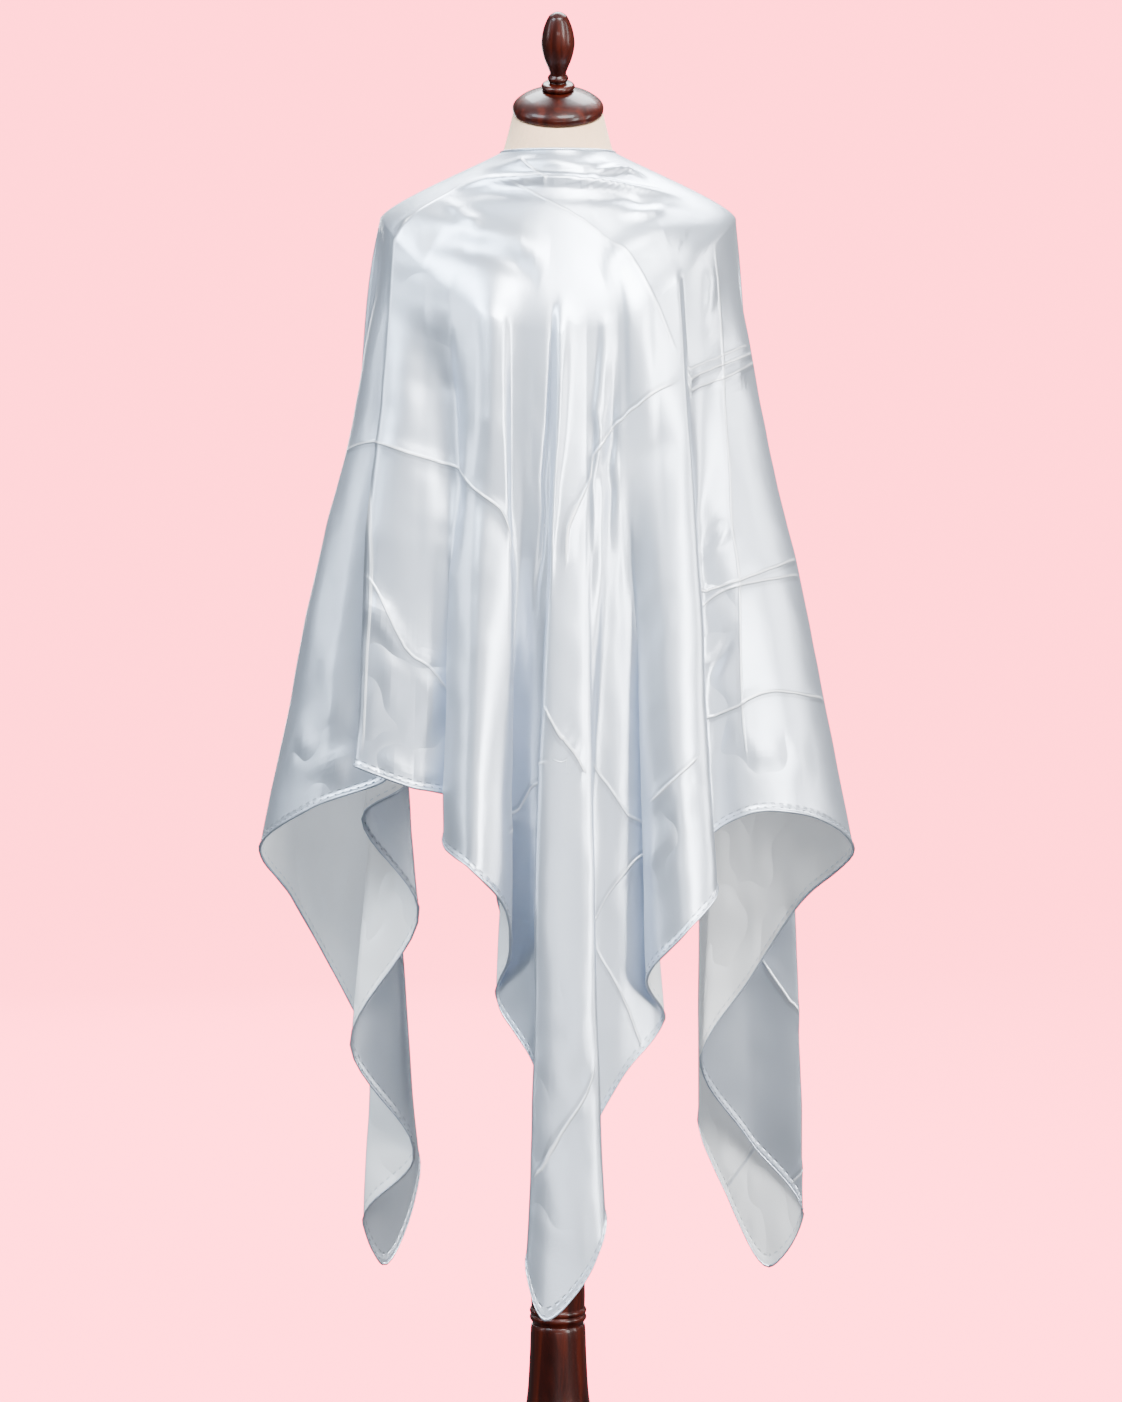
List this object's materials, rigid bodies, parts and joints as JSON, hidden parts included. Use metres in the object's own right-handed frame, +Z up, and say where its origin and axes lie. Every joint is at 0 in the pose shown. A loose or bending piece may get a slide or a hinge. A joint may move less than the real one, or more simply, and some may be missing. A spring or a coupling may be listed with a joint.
{
  "type": "silk scarf on a dress form",
  "caption": "Large square silk satin scarf worn as a poncho over a limbless dress form on a turned stand, with deep folds and long hanging corners.",
  "frame": {"origin": "on the floor, at the centre of the stand's round base, under the post", "axes": "+Z up along the post, -Y towards the scarf's front corner, +X towards the viewer's right when facing the front"},
  "size_m": [0.6976, 0.5322, 1.7583],
  "materials": {
    "white_satin": "smooth white silk satin with a soft sheen and pressed creases",
    "cream_linen": "matt cream linen stretched over the form",
    "mahogany": "dark red-brown wood, polished gloss"
  },
  "bodies": {
    "root": {"scarf_yoke_front": "white_satin", "scarf_yoke_back": "white_satin", "scarf_front_corner": "white_satin", "scarf_front_hollow_left": "white_satin", "scarf_front_fold_left": "white_satin", "scarf_flap_left": "white_satin", "scarf_side_left": "white_satin", "scarf_side_inner_left": "white_satin", "scarf_tail_left": "white_satin", "scarf_cascade_left": "white_satin", "scarf_back_side_left": "white_satin", "scarf_back_fold_left": "white_satin", "scarf_back_corner_left": "white_satin", "scarf_back_corner_right": "white_satin", "scarf_back_fold_right": "white_satin", "scarf_back_side_right": "white_satin", "scarf_tail_back_right": "white_satin", "scarf_tail_right": "white_satin", "scarf_tail_front_right": "white_satin", "scarf_side_inner_right": "white_satin", "scarf_side_right": "white_satin", "scarf_front_fold_right": "white_satin", "scarf_front_hollow_right": "white_satin", "form_torso": "cream_linen", "form_neck_cap": "mahogany", "form_finial": "mahogany", "form_post": "mahogany", "form_base": "mahogany"}
  },
  "joints": []
}
